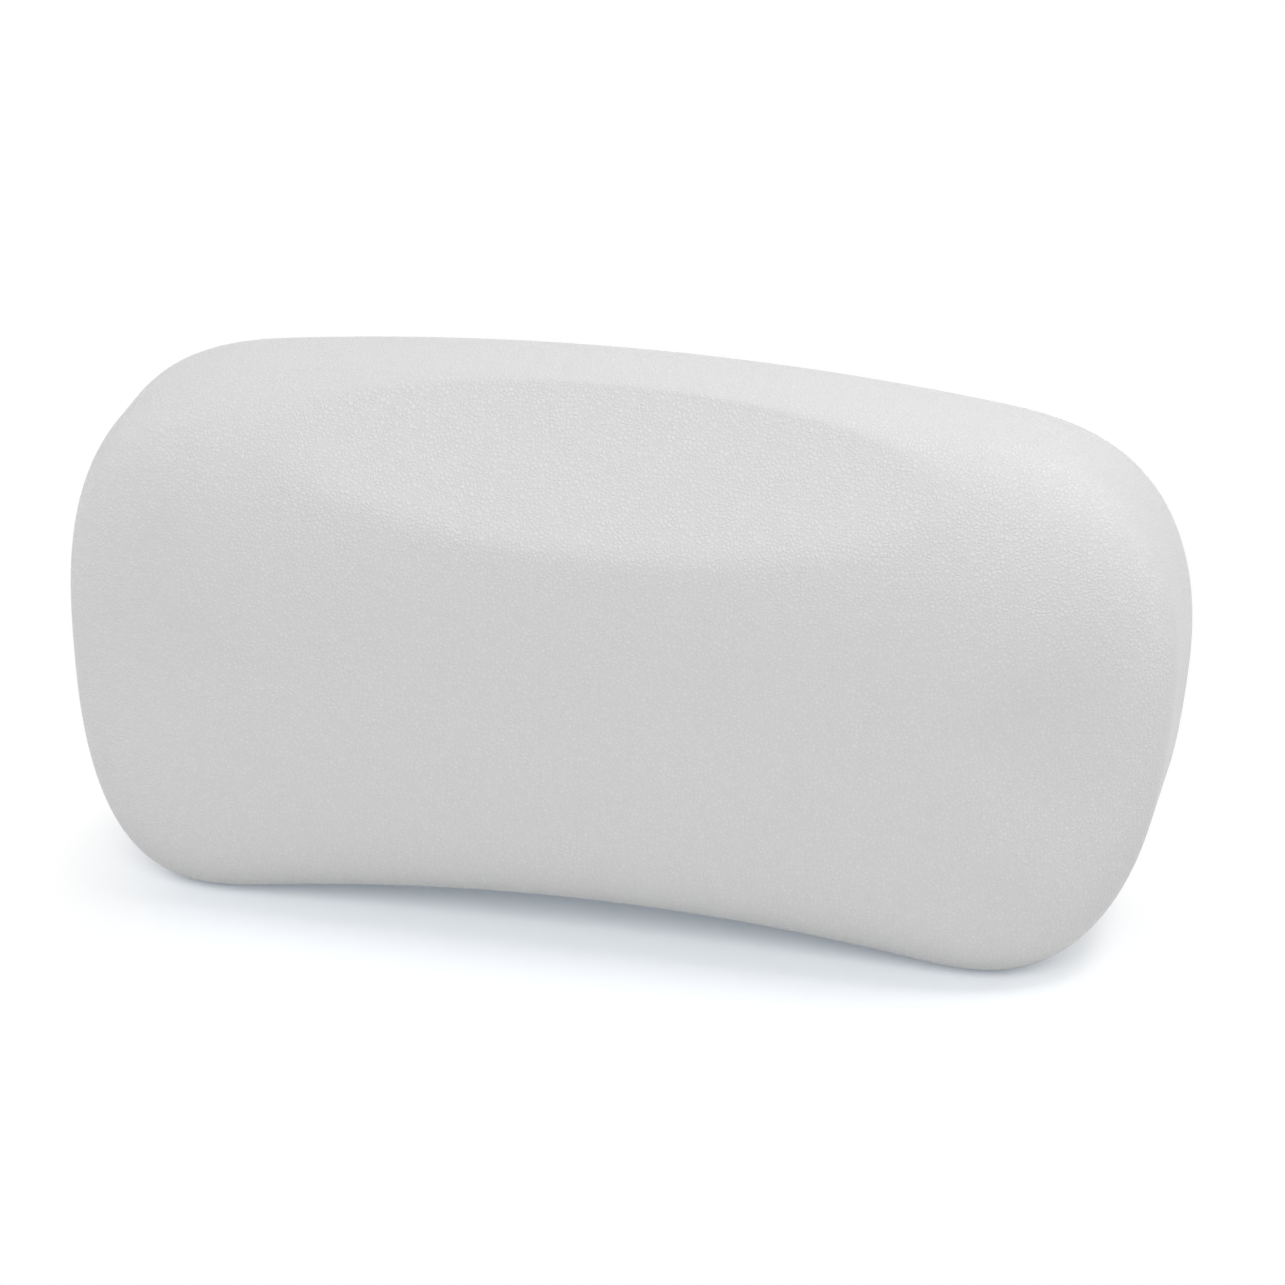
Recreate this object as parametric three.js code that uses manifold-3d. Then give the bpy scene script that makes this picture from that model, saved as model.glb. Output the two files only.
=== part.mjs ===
// A moulded bath pillow that holds on to the bath by suction cups.
// A grained skin wraps a soft foam core and turns in over the edge of a rigid back plate. The plate has
// one keyhole for each suction cup, and a cap behind each keyhole keeps the foam out of it.
// Millimetres: +X runs along the pillow and +Z up. The front faces -Y, the suction cups face +Y.

import * as THREE from "three";
import { mergeVertices } from "three/addons/utils/BufferGeometryUtils.js";
import Module from "manifold-3d";

const wasm = await Module();
wasm.setup();

// Cushion outline, along and across its bent centre line
const length = 300;
const height = 135.5;
const bendRadius = 710; // of the centre line, so that the lower edge is an arch between two lobes
const endLength = 60; // of the rounded stretch at each end
const lowerFlare = 7.5; // each end reaches out by this at the lower edge, and draws in by it at the upper
const endRoundness = 3; // power of the end's curve along the pillow: 2 is an ellipse, more is squarer
const upperRoundness = 2.5; // the same across the pillow, for the upper corners
const lowerRoundness = 2.6; // and for the lower corners

// Cushion depth, from its flat back
const midDepth = 42.5; // of the rim, halfway up the middle
const lean = 13.5; // the rim is deeper by this at the lower edge, and shallower by it at the upper
const curl = 3.5; // and by this more, growing from halfway up towards both edges
const wing = 2.5; // the ends come forward by this
const crown = 27.5; // the front swells out of the rim by this
const crownRoundness = 3.05; // power of the swell's curve across the pillow
const endCrownRoundness = 1.9; // and along it, at the ends
const backRound = 13; // rounding of the back edge, across the back
const backRoundDepth = 15.5; // and along the wall
const leastWall = 3; // straight wall that is left in front of that rounding where the rim is shallow
const footFlat = 0.5; // the lobes are pressed flat by this where the pillow stands on them

// Hollow for the head, in the upper half of the front
const dishCentre = 45; // above the centre line
const dishDepth = 51.3; // from the flat back to the hollow's middle
const dishTilt = 36.9; // degrees that the hollow leans back
const dishRadius = 470; // of its curve along the pillow
const dishBlend = 1; // depth over which its edge is softened

// Skin and core
const skinWall = 2;
const lipFlat = 10; // flat stretch of skin between the rounded back edge and the plate's opening
const seatGap = 0.3; // between pieces that lie against each other

// Back plate
const plateRecess = 0.8; // of the plate's face below the skin's back
const flangeWidth = 6; // of the plate's edge behind the skin's lip
const flangeThickness = 2;

// Suction cups and their keyholes
const cupFromEnd = 55;
const cupSpacingZ = 52;
const cupRadius = 19;
const cupHeight = 9; // from the plate's face to the rim
const cupHollow = 3.5; // depth of the hollow
const cupRimLand = 2; // width of the flat rim
const cupEdge = 0.9; // thickness of the rim
const collarRadius = 7;
const collarThickness = 2;
const neckRadius = 3.2;
const headRadius = 5.6;
const headThickness = 2.4;
const headChamfer = 0.8;
const keyholeTravel = 10; // from the seat down to the entry
const runningGap = 0.3; // round the neck and the head
const overcut = 1; // by which a hole's cutter stands out of the plate

// Caps behind the keyholes
const capWall = 1.2;
const capFlange = 2; // width of the foot that lies on the plate

const halfLength = length / 2;
const halfHeight = height / 2;
const straightHalf = halfLength - endLength;
const lipWidth = backRound + lipFlat;
const plateFront = skinWall + seatGap + flangeThickness; // depth of the plate's foam side

const fine = { endSteps: 22, edgeSteps: 8, crownRings: 9, roundRings: 3 };
const coarse = { endSteps: 11, edgeSteps: 4, crownRings: 7, roundRings: 2 };
const cupSegments = 32;
const arcSegments = 10;

// The outline drawn in by inset, counter-clockwise from the lower right as seen from the front
function outline(inset, detail) {
  const points = [];
  const reach = endLength - inset;
  const rise = halfHeight - inset;
  for (const side of [1, -1]) {
    for (let k = 0; k < detail.endSteps; k++) {
      const angle = (k / detail.endSteps - 0.5) * Math.PI;
      const up = side * Math.sin(angle);
      const roundness = up > 0 ? upperRoundness : lowerRoundness;
      points.push({
        along: side * (straightHalf + reach * Math.cos(angle) ** (2 / endRoundness)),
        across: Math.sign(up) * rise * Math.abs(up) ** (2 / roundness),
      });
    }
    for (let k = 0; k < detail.edgeSteps; k++) {
      points.push({ along: side * straightHalf * (1 - (2 * k) / detail.edgeSteps), across: side * rise });
    }
  }
  return points;
}

// A place in the pillow: along and across the bent centre line, and forward from the flat back
function place(along, across, depth) {
  const spread = 1 - (lowerFlare / halfLength) * (across / halfHeight);
  const angle = (along * spread) / bendRadius;
  const radius = bendRadius + across;
  return new THREE.Vector3(radius * Math.sin(angle), -depth, radius * Math.cos(angle) - bendRadius);
}

function rimDepth(along, across) {
  const up = across / halfHeight;
  return midDepth - (lean + curl * Math.abs(up)) * up + wing * (along / halfLength) ** 2;
}

// How much of its swell the front has at a place: none on the outline drawn in by inset, all of it on the
// centre line
function swellAt(along, across, inset) {
  const cornerRoundness = across > 0 ? upperRoundness : lowerRoundness;
  const edgeShare = (Math.abs(across) / (halfHeight - inset)) ** cornerRoundness;
  const endShare = (Math.max(Math.abs(along) - straightHalf, 0) / (endLength - inset)) ** endRoundness;
  const level = Math.min(edgeShare + endShare, 1);
  const edgeWeight = level > 0 ? edgeShare / level : 1;
  const roundness = THREE.MathUtils.lerp(endCrownRoundness, crownRoundness, edgeWeight);
  const outlinePower = THREE.MathUtils.lerp(endRoundness, cornerRoundness, edgeWeight);
  return (1 - level ** (roundness / outlinePower)) ** (1 / roundness);
}

function softMin(a, b, blend) {
  const near = Math.max(blend - Math.abs(a - b), 0) / blend;
  return Math.min(a, b) - (near * near * blend) / 4;
}

function frontDepth(along, across, inset) {
  const crowned = rimDepth(along, across) + swellAt(along, across, inset) * (crown - inset);
  const dishSlope = Math.tan(THREE.MathUtils.degToRad(dishTilt));
  const dished = dishDepth - dishSlope * (across - dishCentre) + along ** 2 / (2 * dishRadius) - inset;
  return softMin(crowned, dished, dishBlend);
}

// Rings of the cushion's surface drawn in by inset, from the middle of the front to the flat of the back
function surface(inset, detail) {
  const edge = outline(inset, detail);
  const rings = [[place(0, 0, frontDepth(0, 0, inset))]];
  for (let k = 1; k <= detail.crownRings; k++) {
    const angle = (1 - k / detail.crownRings) * (Math.PI / 2);
    const share = Math.cos(angle) ** (2 / crownRoundness);
    const ring = edge.map(({ along, across }) => [along * share, across * share]);
    rings.push(ring.map(([along, across]) => place(along, across, frontDepth(along, across, inset))));
  }
  for (let k = 0; k <= detail.roundRings; k++) {
    const angle = (k / detail.roundRings) * (Math.PI / 2);
    const drawnIn = inset + (backRound - inset) * (1 - Math.cos(angle));
    const ring = outline(drawnIn, detail).map(({ along, across }, i) => {
      const wall = rimDepth(edge[i].along, edge[i].across);
      const roundStart = Math.min(backRoundDepth, wall - leastWall);
      return place(along, across, inset + (roundStart - inset) * (1 - Math.sin(angle)));
    });
    rings.push(ring);
  }
  return rings;
}

// Joins each ring to the next with triangles, whatever their counts: the ring that lags behind moves on,
// and where neither does, the shorter diagonal is taken
function loft(rings) {
  const faces = [];
  let first = 0;
  for (let k = 0; k + 1 < rings.length; k++) {
    const pair = [rings[k], rings[k + 1]];
    const starts = [first, first + pair[0].length];
    const steps = pair.map((ring) => (ring.length > 1 ? ring.length : 0));
    const at = [0, 0];
    const slot = (side, ahead) => (at[side] + ahead) % pair[side].length;
    const index = (side) => starts[side] + slot(side, 0);
    while (at[0] < steps[0] || at[1] < steps[1]) {
      const diagonal = (ahead) => pair[0][slot(0, ahead)].distanceTo(pair[1][slot(1, 1 - ahead)]);
      const lead = (at[0] + 1) * steps[1] - (at[1] + 1) * steps[0] || diagonal(1) - diagonal(0);
      const side = at[1] >= steps[1] || (at[0] < steps[0] && lead <= 0) ? 0 : 1;
      const corners = [index(0), index(1)];
      at[side] += 1;
      faces.push(...corners, index(side));
    }
    first += pair[0].length;
  }
  const geometry = new THREE.BufferGeometry().setFromPoints(rings.flat());
  geometry.setIndex(faces);
  return geometry;
}

function toSolid(geometry) {
  const bare = new THREE.BufferGeometry();
  bare.setAttribute("position", geometry.getAttribute("position"));
  bare.setIndex(geometry.getIndex());
  const merged = mergeVertices(bare);
  const mesh = new wasm.Mesh({
    numProp: 3,
    vertProperties: merged.getAttribute("position").array,
    triVerts: new Uint32Array(merged.getIndex().array),
  });
  return new wasm.Manifold(mesh);
}

function toGeometry(solid) {
  const mesh = solid.getMesh();
  const geometry = new THREE.BufferGeometry();
  geometry.setAttribute("position", new THREE.BufferAttribute(mesh.vertProperties, 3));
  geometry.setIndex(new THREE.BufferAttribute(mesh.triVerts, 1));
  geometry.computeVertexNormals();
  return geometry;
}

// A flat shape of the XZ plane made solid between two depths from the pillow's back
function slab(shape, fromDepth, toDepth) {
  const thick = { depth: toDepth - fromDepth, bevelEnabled: false, curveSegments: arcSegments };
  const geometry = new THREE.ExtrudeGeometry(shape, thick);
  geometry.rotateX(Math.PI / 2);
  geometry.translate(0, -fromDepth, 0);
  return toSolid(geometry);
}

function outlineShape(inset) {
  const points = outline(inset, fine).map(({ along, across }) => place(along, across, 0));
  return new THREE.Shape(points.map((p) => new THREE.Vector2(p.x, p.z)));
}

// Round the seat and the entry of a keyhole, whose seat is at the origin
function pill(radius) {
  const shape = new THREE.Shape();
  shape.absarc(0, 0, radius, 0, Math.PI, false);
  shape.absarc(0, -keyholeTravel, radius, Math.PI, 2 * Math.PI, false);
  return shape;
}

function keyhole() {
  const slot = neckRadius + runningGap;
  const entry = headRadius + runningGap;
  const shoulder = Math.asin(slot / entry);
  const shape = new THREE.Shape();
  shape.absarc(0, 0, slot, 0, Math.PI, false);
  shape.absarc(0, -keyholeTravel, entry, Math.PI / 2 + shoulder, (5 * Math.PI) / 2 - shoulder, false);
  return shape;
}

// Where each suction cup sits, at the seat of its keyhole
const stations = ["upper", "lower"].flatMap((row) =>
  ["left", "right"].map((side) => {
    const along = (side === "left" ? -1 : 1) * (halfLength - cupFromEnd);
    const across = (row === "lower" ? -1 : 1) * (cupSpacingZ / 2) + keyholeTravel / 2;
    return { name: `${row}_${side}`, seat: place(along, across, 0) };
  }),
);

function makeSkin() {
  const lip = (depth) => outline(lipWidth, fine).map(({ along, across }) => place(along, across, depth));
  const outer = [...surface(0, fine), lip(0)];
  const inner = [...surface(skinWall, coarse), lip(skinWall)];
  return toSolid(loft([...outer, ...inner.reverse()]));
}

// The skin's lobes end at the level that the pillow stands on
function pressFlat(skin, level) {
  const below = new THREE.BoxGeometry(2 * length, 2 * length, height);
  below.translate(0, 0, level - height / 2);
  return skin.subtract(toSolid(below));
}

const capCavity = headRadius + runningGap;
const capSeat = plateFront + seatGap; // depth of the cap's open side
const capFloor = capSeat + headThickness + runningGap; // and of its floor's inner face
const capParts = [
  { radius: capCavity + capWall + capFlange, front: capSeat + capWall },
  { radius: capCavity + capWall, front: capFloor + capWall },
];

function makeCap() {
  const [foot, dome] = capParts.map(({ radius, front }) => slab(pill(radius), capSeat, front));
  return foot.add(dome).subtract(slab(pill(capCavity), plateFront, capFloor));
}

function makeCore() {
  const inset = skinWall + seatGap;
  let core = toSolid(loft([...surface(inset, coarse), [place(0, 0, inset)]]));
  core = core.subtract(slab(outlineShape(lipWidth - flangeWidth - seatGap), 0, plateFront + seatGap));
  for (const { seat } of stations) {
    for (const { radius, front } of capParts) {
      const pocket = slab(pill(radius + seatGap), plateFront, front + seatGap);
      core = core.subtract(pocket.translate([seat.x, 0, seat.z]));
    }
  }
  return core;
}

function makePlate() {
  const field = slab(outlineShape(lipWidth + seatGap), plateRecess, plateFront);
  const flange = slab(outlineShape(lipWidth - flangeWidth), skinWall + seatGap, plateFront);
  let plate = field.add(flange);
  for (const { seat } of stations) {
    plate = plate.subtract(slab(keyhole(), -overcut, plateFront + overcut).translate([seat.x, 0, seat.z]));
  }
  return plate;
}

// A suction cup about its own axis: the head lies behind the plate, the rim faces +Y
function cupGeometry() {
  const face = -plateRecess;
  const headBack = -plateFront - runningGap;
  const headFront = headBack - headThickness;
  const collarFront = face + runningGap;
  const collarBack = collarFront + collarThickness;
  const rim = face + cupHeight;
  const profile = [
    [0, headFront],
    [headRadius - headChamfer, headFront],
    [headRadius, headFront + headChamfer],
    [headRadius, headBack],
    [neckRadius, headBack],
    [neckRadius, collarFront],
    [collarRadius, collarFront],
    [collarRadius, collarBack],
    [(collarRadius + cupRadius) / 2, (collarBack + rim - cupEdge) / 2 - cupEdge / 2],
    [cupRadius, rim - cupEdge],
    [cupRadius, rim],
    [cupRadius - cupRimLand, rim],
    [(collarRadius + cupRadius) / 2, rim - cupHollow / 2],
    [collarRadius, rim - cupHollow],
    [0, rim - cupHollow],
  ];
  return new THREE.LatheGeometry(profile.map(([r, y]) => new THREE.Vector2(r, y)), cupSegments);
}

const finishes = {
  skin: { color: 0xd3d4d3, roughness: 0.5 },
  foam: { color: 0xe8e2d0, roughness: 0.95 },
  plate: { color: 0xb4b7b8, roughness: 0.45 },
  cap: { color: 0x9da1a3, roughness: 0.5 },
  cup: { color: 0xdfe8e8, roughness: 0.2 },
};

function makeMesh(name, geometry, finish) {
  const material = new THREE.MeshStandardMaterial({ metalness: 0, ...finishes[finish] });
  const mesh = new THREE.Mesh(geometry, material);
  mesh.name = name;
  return mesh;
}

const assembly = new THREE.Group();
const skin = makeSkin();
const standLevel = skin.boundingBox().min[2] + footFlat;
assembly.add(makeMesh("cushion_skin", toGeometry(pressFlat(skin, standLevel)), "skin"));
assembly.add(makeMesh("foam_core", toGeometry(makeCore()), "foam"));
assembly.add(makeMesh("back_plate", toGeometry(makePlate()), "plate"));
for (const { name, seat } of stations) {
  const cap = makeMesh(`socket_cap_${name}`, toGeometry(makeCap()), "cap");
  const cup = makeMesh(`suction_cup_${name}`, cupGeometry(), "cup");
  cap.position.copy(seat);
  cup.position.copy(seat);
  assembly.add(cap, cup);
}

// The origin is under the middle of the pillow, on the level that it stands on
const depthMiddle = new THREE.Box3().setFromObject(assembly).getCenter(new THREE.Vector3()).y;
assembly.position.set(0, -depthMiddle, -standLevel);

const bathPillow = new THREE.Group();
bathPillow.add(assembly);

export default bathPillow;
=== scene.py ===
import math

import bmesh
import bpy
import numpy as np
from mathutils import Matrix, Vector


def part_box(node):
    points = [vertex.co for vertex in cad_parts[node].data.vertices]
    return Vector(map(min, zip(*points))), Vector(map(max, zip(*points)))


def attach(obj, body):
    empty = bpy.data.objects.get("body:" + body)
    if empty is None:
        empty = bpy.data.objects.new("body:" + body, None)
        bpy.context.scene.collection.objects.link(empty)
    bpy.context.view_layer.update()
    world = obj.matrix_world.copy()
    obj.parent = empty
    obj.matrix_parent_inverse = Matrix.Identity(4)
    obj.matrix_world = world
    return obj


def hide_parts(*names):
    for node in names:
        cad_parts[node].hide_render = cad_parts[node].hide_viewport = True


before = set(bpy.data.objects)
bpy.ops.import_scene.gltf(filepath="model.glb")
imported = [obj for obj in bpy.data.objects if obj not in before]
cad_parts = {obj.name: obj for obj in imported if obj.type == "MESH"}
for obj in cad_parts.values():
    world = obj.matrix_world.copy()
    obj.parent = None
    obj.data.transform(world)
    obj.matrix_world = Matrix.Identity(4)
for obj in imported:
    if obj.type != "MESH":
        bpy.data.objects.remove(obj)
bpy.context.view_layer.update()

STATIONS = ["upper_left", "upper_right", "lower_left", "lower_right"]

# Cushion outline in metres, along and across its bent centre line, as in the solids
LENGTH = 0.300
HEIGHT = 0.1355
BEND_RADIUS = 0.710
END_LENGTH = 0.060
LOWER_FLARE = 0.0075
END_ROUNDNESS = 3.0
UPPER_ROUNDNESS = 2.5
LOWER_ROUNDNESS = 2.6
HALF_LENGTH = LENGTH / 2
HALF_HEIGHT = HEIGHT / 2
STRAIGHT_HALF = HALF_LENGTH - END_LENGTH
_, SKIN_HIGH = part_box("cushion_skin")

# Cushion depth, forward from its flat back
MID_DEPTH = 0.0425
LEAN = 0.0135
CURL = 0.0035
WING = 0.0025
CROWN = 0.0275
CROWN_ROUNDNESS = 3.05
END_CROWN_ROUNDNESS = 1.9
BACK_ROUND = 0.013
BACK_ROUND_DEPTH = 0.0155
LEAST_WALL = 0.003

# Hollow for the head
DISH_CENTRE = 0.045
DISH_DEPTH = 0.0513
DISH_TILT = math.radians(36.9)
DISH_RADIUS = 0.470
DISH_BLEND = 0.001

# Skin
SKIN_WALL = 0.002
LIP_FLAT = 0.010  # from the rounded back edge to the lip's free edge
LIP_WIDTH = BACK_ROUND + LIP_FLAT
LIP_EDGE = 0.0007  # rounding of the lip's free edge

# Mesh detail of the skin: cells along and across the front, and rings behind it
GRID_ALONG = 200
GRID_ACROSS = 100
PERIMETER = 2 * (GRID_ALONG + GRID_ACROSS)
WALL_RINGS = 6
ROUND_RINGS = 8
FLAT_RINGS = 3
LIP_RINGS = 4

# Turns round the outline: right end, upper edge, left end, lower edge
TURNS = 4
LOWER_MIDDLE = 3.5
OUTLINE_SAMPLES = 40001
SLACK = 1e-9  # for comparing numbers that ought to be equal
TINY = 1e-12  # keeps a divisor from being zero

# Foam core
WELD_DISTANCE = 1e-6
SHARP_EDGE = math.radians(35)

# Suction cups
CUP_EDGE = 0.0009
CUP_HOLLOW = 0.0035
CUP_RIM_LAND = 0.002
CUP_HEIGHT = 0.009
COLLAR_RADIUS = 0.007
COLLAR_THICKNESS = 0.002
NECK_RADIUS = 0.0032
HEAD_RADIUS = 0.0056
HEAD_THICKNESS = 0.0024
HEAD_CHAMFER = 0.0008
RUNNING_GAP = 0.0003
CUP_SEGMENTS = 96

# Rounded corners of a suction cup's profile
EDGE_FILLET = 0.0003
NECK_FILLET = 0.0004
RIM_FILLET = 0.0004
HEAD_FILLET = 0.0006
LAND_FILLET = 0.0006
COLLAR_FILLET = 0.0008
HOLLOW_FILLET = 0.004
BELL_FILLET = 0.02
FILLET_POINTS = 7
FILLET_SHARE = 0.48  # the most of a profile's side that one fillet takes up

# Colours, each as its darker and its lighter shade
# The skin's darker colour is painted shade, laid down in its grain's grooves
SKIN_GROOVE_SHADE_COLOURS = ((0.66, 0.66, 0.66), (0.702, 0.702, 0.702))
FOAM_COLOURS = ((0.66, 0.6, 0.46), (0.84, 0.79, 0.66))
PLATE_COLOURS = ((0.43, 0.44, 0.45), (0.49, 0.5, 0.51))
CAP_COLOURS = ((0.31, 0.33, 0.34), (0.37, 0.39, 0.4))
VINYL_COLOURS = ((0.78, 0.83, 0.83), (0.86, 0.91, 0.91))
PAPER_COLOURS = ((0.8, 0.8, 0.8), (0.83, 0.83, 0.83))

# Finish: spans of roughness, and the spans of texture values that are carried over
SKIN_ROUGHNESS = (0.38, 0.48)
PLASTIC_ROUGHNESS = (0.4, 0.52)
VINYL_ROUGHNESS = (0.12, 0.22)
NOISE_SPAN = (0.3, 0.7)
GROOVE_SPAN = (0.0, 0.28)  # from a grain cell's edge to its flat top
UNIT_SPAN = (0.0, 1.0)

# Texture scales, in repeats to a metre
GRAIN_SCALE = 900
PORE_SCALE = 2600
PATCH_SCALE = 60
FOAM_SCALE = 1400
SPARK_SCALE = 2200
FLOW_SCALE = 25
CLOUD_SCALE = 90
RIPPLE_SCALE = 260

# White sweep and the light from all round
WHITE = (1, 1, 1, 1)
WORLD_LEVEL = 0.28
FLOOR_RADIUS = 4.0
FLOOR_SEGMENTS = 96
FLOOR_MIDDLE = Vector((0, -0.02, 0))
FLOOR_SHADOW = (0.135, 0.085)  # half axes of the floor under the object, which shows its shadow
FLOOR_FADE = (0.85, 1.12)  # in half axes, from there to plain white
SHADOW_COLOUR = (0.72, 0.86, 1.0, 1)
SHADOW_LIFT = 0.22

# Name, place, width, height and power of each soft light
SOFT_LIGHTS = [
    ("light_over_front", (0.0, -1.0, 1.2), 1.2, 1.2, 10.3),
    ("light_over_right", (0.5, 0.25, 1.1), 0.3, 0.3, 5.4),
    ("light_left", (-1.2, 0.15, 0.5), 0.9, 0.9, 4.0),
    ("light_right", (1.2, 0.3, 0.2), 0.5, 0.5, 2.5),
    ("light_front", (0.1, -1.3, 0.45), 1.8, 0.8, 2.0),
    ("light_back", (0.0, 1.2, 0.8), 0.9, 0.9, 1.4),
]

# Camera, found from the photographed outline, with its lens and sensor in millimetres
PIVOT = Vector((0, 0, 0.075))  # the lights face it too
CAMERA_YAW = math.radians(13.64)
CAMERA_ELEVATION = math.radians(25.36)
CAMERA_DISTANCE = 1.3977
CAMERA_AIM = Vector((0.0069, -0.0012, 0.0687))
CAMERA_LENS = 147.7
SENSOR_WIDTH = 36


# Objects and pieces


def new_object(name, data):
    thing = bpy.data.objects.new(name, data)
    bpy.context.scene.collection.objects.link(thing)
    return thing


def new_mesh(name, points, faces):
    mesh = bpy.data.meshes.new(name)
    mesh.from_pydata([tuple(p) for p in points], [], faces)
    mesh.update()
    return mesh


def new_piece(name, mesh, body, nodes):
    """A smooth piece that rides a body and stands for the named solids."""
    mesh.shade_smooth()
    piece = new_object(name, mesh)
    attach(piece, body)
    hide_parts(*nodes)
    return piece


def dress(piece, material):
    piece.data.materials.clear()
    piece.data.materials.append(material)


def ring_faces(loops):
    """Four-sided faces between each loop of points and the next."""
    faces = []
    for one, two in zip(loops, loops[1:]):
        for k in range(len(one)):
            after = (k + 1) % len(one)
            faces.append((one[k], two[k], two[after], one[after]))
    return faces


# Cushion surface


def outline(turn, inset):
    """The edge drawn in by inset, at turns from 0 to 4: right end, upper edge, left end, lower edge."""
    stretch = np.floor(turn).astype(int) % TURNS
    step = turn - np.floor(turn)
    side = np.where(stretch < 2, 1, -1)
    angle = (step - 0.5) * np.pi
    up = side * np.sin(angle)
    roundness = np.where(up > 0, UPPER_ROUNDNESS, LOWER_ROUNDNESS)
    reach = (END_LENGTH - inset) * np.maximum(np.cos(angle), 0) ** (2 / END_ROUNDNESS)
    on_end = stretch % 2 == 0
    along = np.where(on_end, side * (STRAIGHT_HALF + reach), side * STRAIGHT_HALF * (1 - 2 * step))
    rise = np.where(on_end, np.sign(up) * np.abs(up) ** (2 / roundness), side)
    return along, (HALF_HEIGHT - inset) * rise


def even_turns(count):
    """Turns that lie evenly round the outline, from the middle of the lower edge."""
    dense = np.linspace(LOWER_MIDDLE, LOWER_MIDDLE + TURNS, OUTLINE_SAMPLES)
    along, across = outline(dense % TURNS, 0)
    walked = np.concatenate([[0], np.cumsum(np.hypot(np.diff(along), np.diff(across)))])
    return np.interp(np.arange(count) / count * walked[-1], walked, dense) % TURNS


def place(along, across, depth):
    """Points in the frame from places along and across the bent centre line and forward from the back."""
    spread = 1 - LOWER_FLARE / HALF_LENGTH * across / HALF_HEIGHT
    angle = along * spread / BEND_RADIUS
    radius = BEND_RADIUS + across
    x = radius * np.sin(angle)
    y = SKIN_HIGH.y - depth
    z = radius * np.cos(angle) - BEND_RADIUS + SKIN_HIGH.z - HALF_HEIGHT
    return np.stack(np.broadcast_arrays(x, y, z), axis=-1)


def rim_depth(along, across):
    """Depth at which the wall ends and the front begins."""
    up = across / HALF_HEIGHT
    return MID_DEPTH - (LEAN + CURL * np.abs(up)) * up + WING * (along / HALF_LENGTH) ** 2


def swell(along, across, inset):
    """How much of its swell the front has: none on the outline, all of it on the centre line."""
    corner = np.where(across > 0, UPPER_ROUNDNESS, LOWER_ROUNDNESS)
    edge_share = (np.abs(across) / (HALF_HEIGHT - inset)) ** corner
    past_straight = np.maximum(np.abs(along) - STRAIGHT_HALF, 0)
    end_share = (past_straight / (END_LENGTH - inset)) ** END_ROUNDNESS
    level = np.minimum(edge_share + end_share, 1)
    edge_weight = np.where(level > 0, edge_share / np.maximum(level, TINY), 1)
    roundness = END_CROWN_ROUNDNESS + (CROWN_ROUNDNESS - END_CROWN_ROUNDNESS) * edge_weight
    outline_power = END_ROUNDNESS + (corner - END_ROUNDNESS) * edge_weight
    return (1 - level ** (roundness / outline_power)) ** (1 / roundness)


def front_depth(along, across, inset):
    """The crowned front with the hollow pressed into it, blended where the two meet."""
    crowned = rim_depth(along, across) + swell(along, across, inset) * (CROWN - inset)
    slope = math.tan(DISH_TILT) * (across - DISH_CENTRE)
    dished = DISH_DEPTH - slope + along**2 / (2 * DISH_RADIUS) - inset
    near = np.maximum(DISH_BLEND - np.abs(crowned - dished), 0) / DISH_BLEND
    return np.minimum(crowned, dished) - near**2 * DISH_BLEND / 4


def front_grid(turns, inset):
    """A grid over the front whose square rings follow the outline."""
    u, v = np.meshgrid(np.linspace(-1, 1, GRID_ALONG + 1), np.linspace(-1, 1, GRID_ACROSS + 1))
    ring = np.maximum(np.abs(u), np.abs(v))
    edge_u, edge_v = u / np.maximum(ring, TINY), v / np.maximum(ring, TINY)
    below, right, above = edge_v <= -1 + SLACK, edge_u >= 1 - SLACK, edge_v >= 1 - SLACK
    steps = np.select(
        [below, right, above],
        [
            edge_u * GRID_ALONG / 2,
            GRID_ALONG / 2 + (edge_v + 1) / 2 * GRID_ACROSS,
            GRID_ALONG / 2 + GRID_ACROSS + (1 - edge_u) / 2 * GRID_ALONG,
        ],
        GRID_ALONG * 3 / 2 + GRID_ACROSS + (1 - edge_v) / 2 * GRID_ACROSS,
    )
    unwrapped = turns + np.where(turns < LOWER_MIDDLE - SLACK, TURNS, 0)
    unwrapped = np.concatenate([unwrapped, [LOWER_MIDDLE + TURNS]])
    edge_turn = np.interp(steps % PERIMETER, np.arange(PERIMETER + 1), unwrapped) % TURNS
    along, across = outline(edge_turn, inset)
    share = np.sin(ring * np.pi / 2)
    along, across = along * share, across * share
    return place(along, across, front_depth(along, across, inset)).reshape(-1, 3)


def back_rings(turns, inset):
    """Rings from the front's rim over the wall and the rounded back edge to the flat back."""
    along, across = outline(turns, inset)
    rim = rim_depth(along, across)
    round_start = np.minimum(BACK_ROUND_DEPTH, rim_depth(*outline(turns, 0)) - LEAST_WALL)
    rings = []
    for k in range(1, WALL_RINGS):
        share = k / WALL_RINGS
        rings.append(place(along, across, rim + (round_start - rim) * share))
    for k in range(ROUND_RINGS + 1):
        angle = k / ROUND_RINGS * np.pi / 2
        drawn_in = inset + (BACK_ROUND - inset) * (1 - math.cos(angle))
        depth = inset + (round_start - inset) * (1 - math.sin(angle))
        rings.append(place(*outline(turns, drawn_in), depth))
    for k in range(1, FLAT_RINGS + 1):
        drawn_in = BACK_ROUND + (LIP_WIDTH - LIP_EDGE - BACK_ROUND) * k / FLAT_RINGS
        rings.append(place(*outline(turns, drawn_in), inset))
    return rings


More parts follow.
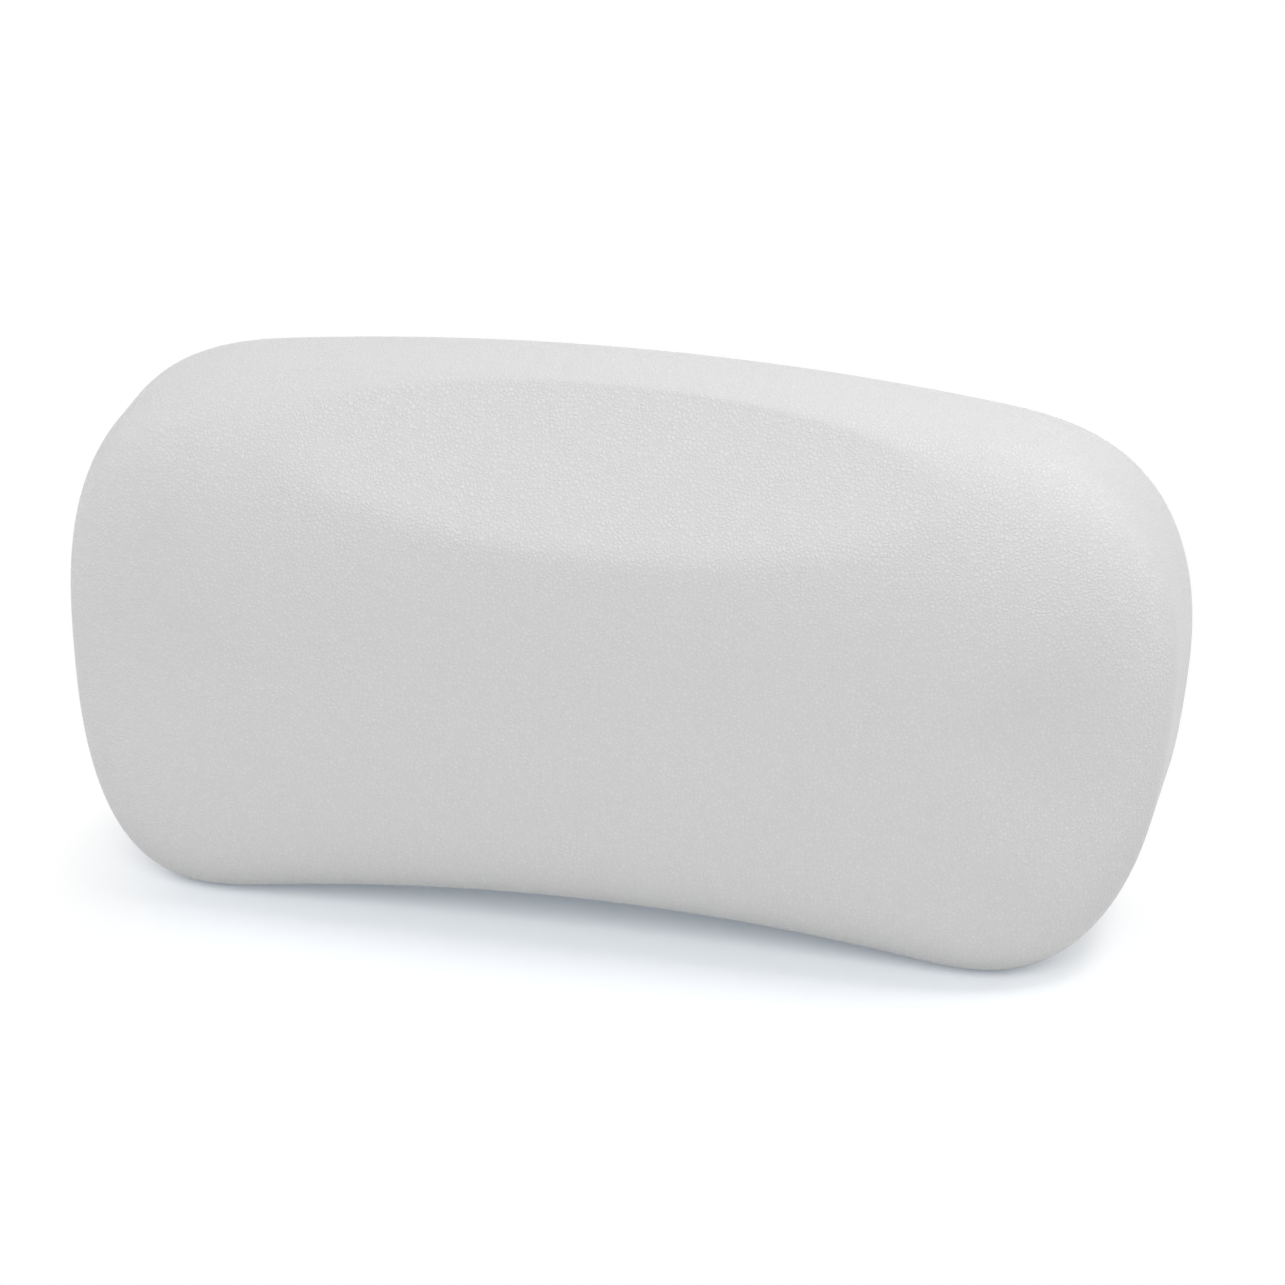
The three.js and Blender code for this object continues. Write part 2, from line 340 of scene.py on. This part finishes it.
def lip_rings(turns):
    """Rings round the lip's free edge. The last is left out, because the inner face has it too."""
    rings = []
    for start, middle in ((0, LIP_EDGE), (math.pi / 2, SKIN_WALL - LIP_EDGE)):
        for k in range(1, LIP_RINGS + 1):
            angle = start + k / LIP_RINGS * math.pi / 2
            drawn_in = LIP_WIDTH - LIP_EDGE + LIP_EDGE * math.sin(angle)
            rings.append(place(*outline(turns, drawn_in), middle - LIP_EDGE * math.cos(angle)))
    return rings[:-1]


def grid_faces(first, outward):
    """Faces of a front grid whose first point has the given number."""
    row = GRID_ALONG + 1
    faces = []
    for j in range(GRID_ACROSS):
        for i in range(GRID_ALONG):
            corner = first + j * row + i
            face = (corner, corner + 1, corner + row + 1, corner + row)
            faces.append(face if outward else face[::-1])
    return faces


def grid_edge(first):
    """The grid's outer points, counter-clockwise from the middle of the lower edge."""
    row = GRID_ALONG + 1
    half = GRID_ALONG // 2
    path = [(i, 0) for i in range(half, GRID_ALONG)]
    path += [(GRID_ALONG, j) for j in range(GRID_ACROSS)]
    path += [(i, GRID_ACROSS) for i in range(GRID_ALONG, 0, -1)]
    path += [(0, j) for j in range(GRID_ACROSS, 0, -1)]
    path += [(i, 0) for i in range(half)]
    return [first + j * row + i for i, j in path]


def make_skin():
    """The skin as a closed shell, pressed flat where its lobes stand on the floor."""
    turns = even_turns(PERIMETER)
    outer, inner = front_grid(turns, 0), front_grid(turns, SKIN_WALL)
    rings = back_rings(turns, 0) + lip_rings(turns) + back_rings(turns, SKIN_WALL)[::-1]
    points = np.concatenate([outer, *rings, inner])
    points[:, 2] = np.maximum(points[:, 2], 0)
    inner_start = len(outer) + len(rings) * PERIMETER
    loops = [grid_edge(0)]
    for start in range(len(outer), inner_start, PERIMETER):
        loops.append(list(range(start, start + PERIMETER)))
    loops.append(grid_edge(inner_start))
    faces = grid_faces(0, True) + ring_faces(loops) + grid_faces(inner_start, False)
    mesh = new_mesh("grained_skin", points, faces)
    piece = new_piece("grained_skin", mesh, "cushion", ["cushion_skin"])
    return piece


# Foam core


def make_foam():
    """The core's solid with finer, softened faces. Its cut edges stay sharp."""
    bm = bmesh.new()
    bm.from_mesh(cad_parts["foam_core"].data)
    bmesh.ops.remove_doubles(bm, verts=bm.verts, dist=WELD_DISTANCE)
    crease = bm.edges.layers.float.new("crease_edge")
    for edge in bm.edges:
        edge[crease] = 1.0 if edge.calc_face_angle(0) > SHARP_EDGE else 0.0
    mesh = bpy.data.meshes.new("foam_filling")
    bm.to_mesh(mesh)
    bm.free()
    piece = new_piece("foam_filling", mesh, "cushion", ["foam_core"])
    finer = piece.modifiers.new("finer", "SUBSURF")
    finer.levels = finer.render_levels = 1
    return piece


# Suction cups


def rounded(profile):
    """Points of a profile of (radius, height, fillet radius) corners, with the corners rounded."""
    points = []
    for k, (r, y, fillet) in enumerate(profile):
        corner = Vector((r, y))
        if not fillet:
            points.append(corner)
            continue
        before = Vector(profile[k - 1][:2]) - corner
        after = Vector(profile[k + 1][:2]) - corner
        half = before.angle(after) / 2
        longest = FILLET_SHARE * min(before.length, after.length)
        reach = min(fillet / math.tan(half), longest)
        start, end = corner + before.normalized() * reach, corner + after.normalized() * reach
        for step in np.linspace(0, 1, FILLET_POINTS):
            points.append((1 - step) ** 2 * start + 2 * step * (1 - step) * corner + step**2 * end)
    return points


def make_cup(station):
    """A cup turned about its own axis: head, neck, collar and hollow bell."""
    low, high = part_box(f"suction_cup_{station}")
    axis_x, axis_z = (low.x + high.x) / 2, (low.z + high.z) / 2
    cup_radius = (high.x - low.x) / 2
    rim, head_front = high.y, low.y
    head_back = head_front + HEAD_THICKNESS
    collar_front = rim - CUP_HEIGHT + RUNNING_GAP
    collar_back = collar_front + COLLAR_THICKNESS
    hollow_floor = rim - CUP_HOLLOW
    bell_radius = (COLLAR_RADIUS + cup_radius) / 2
    bell_front = (collar_back + rim - CUP_EDGE) / 2 - CUP_EDGE / 2
    curve = rounded([
        (0, head_front, 0),
        (HEAD_RADIUS - HEAD_CHAMFER, head_front, HEAD_FILLET),
        (HEAD_RADIUS, head_front + HEAD_CHAMFER, HEAD_FILLET),
        (HEAD_RADIUS, head_back, EDGE_FILLET),
        (NECK_RADIUS, head_back, NECK_FILLET),
        (NECK_RADIUS, collar_front, NECK_FILLET),
        (COLLAR_RADIUS, collar_front, EDGE_FILLET),
        (COLLAR_RADIUS, collar_back, COLLAR_FILLET),
        (bell_radius, bell_front, BELL_FILLET),
        (cup_radius, rim - CUP_EDGE, RIM_FILLET),
        (cup_radius, rim, EDGE_FILLET),
        (cup_radius - CUP_RIM_LAND, rim, LAND_FILLET),
        (bell_radius, rim - CUP_HOLLOW / 2, BELL_FILLET),
        (COLLAR_RADIUS, hollow_floor, HOLLOW_FILLET),
        (0, hollow_floor, 0),
    ])
    points = []
    for r, y in curve[1:-1]:
        for k in range(CUP_SEGMENTS):
            angle = 2 * math.pi * k / CUP_SEGMENTS
            points.append((axis_x + r * math.cos(angle), y, axis_z + r * math.sin(angle)))
    loops = [list(range(n * CUP_SEGMENTS, (n + 1) * CUP_SEGMENTS)) for n in range(len(curve) - 2)]
    faces = [(d, c, b, a) for a, b, c, d in ring_faces(loops)]
    for pole, loop, turned in ((curve[0], loops[0], False), (curve[-1], loops[-1], True)):
        points.append((axis_x, pole.y, axis_z))
        centre = len(points) - 1
        for k in range(CUP_SEGMENTS):
            pair = (loop[k], loop[(k + 1) % CUP_SEGMENTS])
            faces.append((centre, *(pair[::-1] if turned else pair)))
    name = f"vinyl_cup_{station}"
    mesh = new_mesh(name, points, faces)
    return new_piece(name, mesh, f"cup_{station}", [f"suction_cup_{station}"])


# Shader nodes


def new_material(name):
    material = bpy.data.materials.new(name)
    material.use_nodes = True
    tree = material.node_tree
    return material, tree.nodes, tree.links, tree.nodes["Principled BSDF"]


def texture(nodes, links, kind, **settings):
    """A texture node fed with the piece's own coordinates in metres."""
    node = nodes.new(kind)
    for name, value in settings.items():
        if name in node.inputs:
            node.inputs[name].default_value = value
        else:
            setattr(node, name, value)
    coordinates = nodes.new("ShaderNodeTexCoord")
    links.new(coordinates.outputs["Object"], node.inputs["Vector"])
    return node


def remap(nodes, links, value, span, onto):
    """A value carried over from one span of numbers onto another."""
    node = nodes.new("ShaderNodeMapRange")
    for name, number in zip(("From Min", "From Max", "To Min", "To Max"), (*span, *onto)):
        node.inputs[name].default_value = number
    links.new(value, node.inputs["Value"])
    return node.outputs["Result"]


def blend_colours(nodes, links, value, low, high):
    """A colour that goes from low to high as the value goes from 0 to 1."""
    node = nodes.new("ShaderNodeMix")
    node.data_type = "RGBA"
    links.new(value, node.inputs["Factor"])
    node.inputs["A"].default_value = (*low, 1)
    node.inputs["B"].default_value = (*high, 1)
    return node.outputs["Result"]


def bump(nodes, links, height, strength, distance, under=None):
    """A bumped normal, on top of another one if that is given."""
    node = nodes.new("ShaderNodeBump")
    node.inputs["Strength"].default_value = strength
    node.inputs["Distance"].default_value = distance
    links.new(height, node.inputs["Height"])
    if under is not None:
        links.new(under, node.inputs["Normal"])
    return node.outputs["Normal"]


def combine(nodes, links, operation, first, second):
    """Two values put together by a math node's operation."""
    node = nodes.new("ShaderNodeMath")
    node.operation = operation
    links.new(first, node.inputs[0])
    links.new(second, node.inputs[1])
    return node.outputs["Value"]


def mix_shaders(nodes, links, share, first, second):
    """The first shader where the share is 0, and the second where it is 1."""
    node = nodes.new("ShaderNodeMixShader")
    for source, target in zip((share, first, second), node.inputs):
        links.new(source, target)
    return node.outputs["Shader"]


def seen_directly(nodes, links):
    """1 for the camera and for what reflects or lets through its view."""
    path = nodes.new("ShaderNodeLightPath")
    seen = path.outputs["Is Camera Ray"]
    for name in ("Is Glossy Ray", "Is Transmission Ray"):
        seen = combine(nodes, links, "MAXIMUM", seen, path.outputs[name])
    return seen


# Materials of the pieces


def skin_material():
    material, nodes, links, shader = new_material("grained_polyurethane")
    cells = texture(nodes, links, "ShaderNodeTexVoronoi", feature="DISTANCE_TO_EDGE", Scale=GRAIN_SCALE)
    pores = texture(nodes, links, "ShaderNodeTexNoise", Scale=PORE_SCALE, Detail=2)
    patches = texture(nodes, links, "ShaderNodeTexNoise", Scale=PATCH_SCALE, Detail=4)
    grain = remap(nodes, links, cells.outputs["Distance"], GROOVE_SPAN, UNIT_SPAN)
    # Painted shade: the skin is darker down in its grain's grooves and lighter on the cells' tops
    groove_shaded_tone = blend_colours(nodes, links, grain, *SKIN_GROOVE_SHADE_COLOURS)
    roughness = remap(nodes, links, patches.outputs["Fac"], NOISE_SPAN, SKIN_ROUGHNESS)
    fine = bump(nodes, links, pores.outputs["Fac"], strength=0.6, distance=0.0001)
    normal = bump(nodes, links, grain, strength=0.58, distance=0.0002, under=fine)
    links.new(groove_shaded_tone, shader.inputs["Base Color"])
    links.new(roughness, shader.inputs["Roughness"])
    links.new(normal, shader.inputs["Normal"])
    return material


def foam_material():
    material, nodes, links, shader = new_material("soft_foam")
    cells = texture(nodes, links, "ShaderNodeTexVoronoi", Scale=FOAM_SCALE)
    tint = blend_colours(nodes, links, cells.outputs["Distance"], *FOAM_COLOURS)
    normal = bump(nodes, links, cells.outputs["Distance"], strength=0.6, distance=0.0003)
    links.new(tint, shader.inputs["Base Color"])
    shader.inputs["Roughness"].default_value = 0.95
    links.new(normal, shader.inputs["Normal"])
    return material


def moulded_material(name, dark, light):
    """Moulded plastic with a fine spark texture."""
    material, nodes, links, shader = new_material(name)
    spark = texture(nodes, links, "ShaderNodeTexNoise", Scale=SPARK_SCALE, Detail=3)
    flow = texture(nodes, links, "ShaderNodeTexNoise", Scale=FLOW_SCALE, Detail=3)
    tint = blend_colours(nodes, links, flow.outputs["Fac"], dark, light)
    roughness = remap(nodes, links, flow.outputs["Fac"], NOISE_SPAN, PLASTIC_ROUGHNESS)
    normal = bump(nodes, links, spark.outputs["Fac"], strength=0.3, distance=0.00008)
    links.new(tint, shader.inputs["Base Color"])
    links.new(roughness, shader.inputs["Roughness"])
    links.new(normal, shader.inputs["Normal"])
    return material


def vinyl_material():
    material, nodes, links, shader = new_material("clear_vinyl")
    cloud = texture(nodes, links, "ShaderNodeTexNoise", Scale=CLOUD_SCALE, Detail=2)
    ripple = texture(nodes, links, "ShaderNodeTexNoise", Scale=RIPPLE_SCALE, Detail=1)
    tint = blend_colours(nodes, links, cloud.outputs["Fac"], *VINYL_COLOURS)
    roughness = remap(nodes, links, cloud.outputs["Fac"], NOISE_SPAN, VINYL_ROUGHNESS)
    normal = bump(nodes, links, ripple.outputs["Fac"], strength=0.1, distance=0.0002)
    links.new(tint, shader.inputs["Base Color"])
    links.new(roughness, shader.inputs["Roughness"])
    shader.inputs["Transmission Weight"].default_value = 0.85
    shader.inputs["IOR"].default_value = 1.5
    links.new(normal, shader.inputs["Normal"])
    return material


# Stage, light and camera


def floor_material():
    """Paper that shows the shadow near the object, and plain white further out."""
    material, nodes, links, shader = new_material("white_sweep")
    nodes.remove(shader)
    seen = seen_directly(nodes, links)
    paper = nodes.new("ShaderNodeBsdfDiffuse")
    links.new(blend_colours(nodes, links, seen, *PAPER_COLOURS), paper.inputs["Color"])
    lift = nodes.new("ShaderNodeEmission")
    lift.inputs["Color"].default_value = SHADOW_COLOUR
    links.new(remap(nodes, links, seen, UNIT_SPAN, (0, SHADOW_LIFT)), lift.inputs["Strength"])
    near = nodes.new("ShaderNodeAddShader")
    links.new(paper.outputs[0], near.inputs[0])
    links.new(lift.outputs[0], near.inputs[1])
    white = nodes.new("ShaderNodeEmission")
    coordinates = nodes.new("ShaderNodeTexCoord")
    shares = nodes.new("ShaderNodeVectorMath")
    shares.operation = "DIVIDE"
    links.new(coordinates.outputs["Object"], shares.inputs[0])
    shares.inputs[1].default_value = (*FLOOR_SHADOW, 1)
    reach = nodes.new("ShaderNodeVectorMath")
    reach.operation = "LENGTH"
    links.new(shares.outputs["Vector"], reach.inputs[0])
    fade = remap(nodes, links, reach.outputs["Value"], FLOOR_FADE, UNIT_SPAN)
    share = combine(nodes, links, "MULTIPLY", fade, seen)
    surface = mix_shaders(nodes, links, share, near.outputs[0], white.outputs[0])
    links.new(surface, nodes["Material Output"].inputs["Surface"])
    return material


def make_floor():
    bm = bmesh.new()
    bmesh.ops.create_circle(bm, cap_ends=True, segments=FLOOR_SEGMENTS, radius=FLOOR_RADIUS)
    mesh = bpy.data.meshes.new("floor")
    bm.to_mesh(mesh)
    bm.free()
    floor = new_object("floor", mesh)
    floor.location = FLOOR_MIDDLE
    dress(floor, floor_material())


def make_world():
    """Even light from all round, and plain white where it is seen directly."""
    world = bpy.data.worlds.new("studio")
    bpy.context.scene.world = world
    world.use_nodes = True
    nodes, links = world.node_tree.nodes, world.node_tree.links
    soft, white = nodes["Background"], nodes.new("ShaderNodeBackground")
    for background, strength in ((soft, WORLD_LEVEL), (white, 1)):
        background.inputs["Color"].default_value = WHITE
        background.inputs["Strength"].default_value = strength
    seen = seen_directly(nodes, links)
    surface = mix_shaders(nodes, links, seen, soft.outputs[0], white.outputs[0])
    links.new(surface, nodes["World Output"].inputs["Surface"])


def turn_to(thing, target):
    """Turns a light or the camera towards a point."""
    thing.rotation_euler = (thing.location - target).to_track_quat("Z", "Y").to_euler()


def make_lights():
    for name, at, width, height, power in SOFT_LIGHTS:
        lamp = bpy.data.lights.new(name, "AREA")
        lamp.shape = "RECTANGLE"
        lamp.size, lamp.size_y = width, height
        lamp.energy = power
        light = new_object(name, lamp)
        light.location = at
        turn_to(light, PIVOT)


def make_camera():
    back = Vector((
        math.sin(CAMERA_YAW) * math.cos(CAMERA_ELEVATION),
        -math.cos(CAMERA_YAW) * math.cos(CAMERA_ELEVATION),
        math.sin(CAMERA_ELEVATION),
    ))
    lens = bpy.data.cameras.new("camera")
    lens.lens = CAMERA_LENS
    lens.sensor_width = SENSOR_WIDTH
    camera = new_object("camera", lens)
    camera.location = PIVOT + back * CAMERA_DISTANCE
    turn_to(camera, CAMERA_AIM)
    bpy.context.scene.camera = camera


bpy.context.scene.view_settings.view_transform = "Standard"
make_camera()
make_lights()
make_world()
make_floor()

dress(make_skin(), skin_material())
dress(make_foam(), foam_material())
vinyl = vinyl_material()
for station in STATIONS:
    dress(make_cup(station), vinyl)
dress(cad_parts["back_plate"], moulded_material("plate_plastic", *PLATE_COLOURS))
cap_plastic = moulded_material("cap_plastic", *CAP_COLOURS)
for station in STATIONS:
    dress(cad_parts[f"socket_cap_{station}"], cap_plastic)
